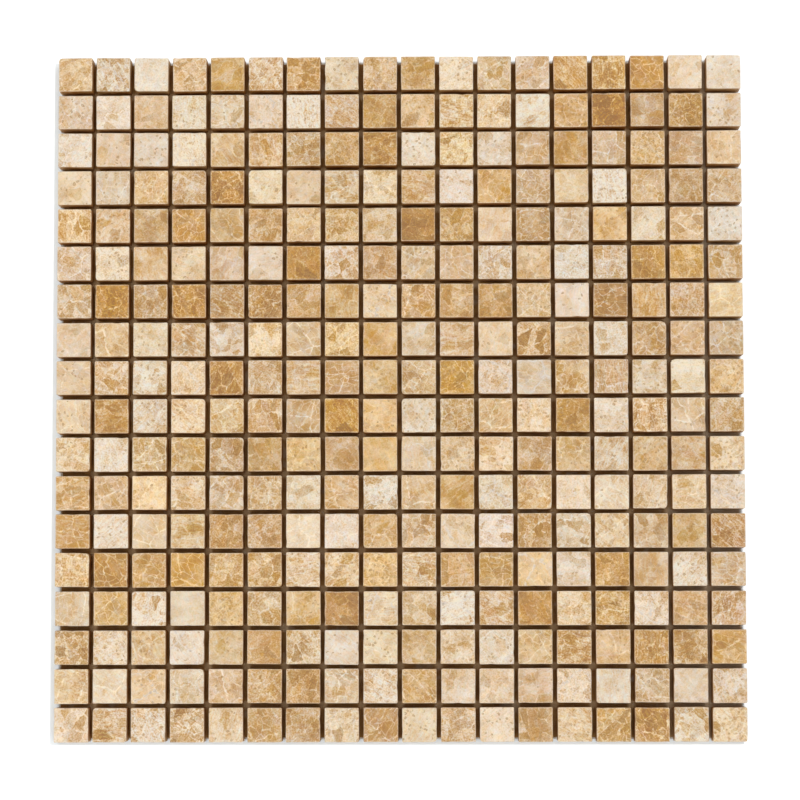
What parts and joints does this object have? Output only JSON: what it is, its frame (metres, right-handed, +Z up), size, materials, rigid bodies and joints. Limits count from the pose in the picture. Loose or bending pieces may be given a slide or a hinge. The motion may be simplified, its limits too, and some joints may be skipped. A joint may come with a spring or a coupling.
{
  "type": "mosaic tile sheet",
  "caption": "Square sheet of small polished brown marble tiles with open joints, held from behind by a glass-fibre net and glue film, ready to bed and grout on a floor or wall.",
  "frame": {"origin": "centre of the sheet's underside, on the net's bedding face", "axes": "+Z up, out of the polished face; +X across the sheet along a row of tiles; +Y along the sheet, across the rows"},
  "size_m": [0.303, 0.303, 0.01],
  "materials": {
    "marble": "polished",
    "glass_fibre_net": "resin-coated open scrim",
    "adhesive": "smooth dried film, slightly flexible"
  },
  "bodies": {
    "root": {"tile_row_01": "marble", "tile_row_02": "marble", "tile_row_03": "marble", "tile_row_04": "marble", "tile_row_05": "marble", "tile_row_06": "marble", "tile_row_07": "marble", "tile_row_08": "marble", "tile_row_09": "marble", "tile_row_10": "marble", "tile_row_11": "marble", "tile_row_12": "marble", "tile_row_13": "marble", "tile_row_14": "marble", "tile_row_15": "marble", "tile_row_16": "marble", "tile_row_17": "marble", "tile_row_18": "marble", "net_yarns_across": "glass_fibre_net", "net_yarns_along": "glass_fibre_net", "adhesive_film": "adhesive"}
  },
  "joints": []
}
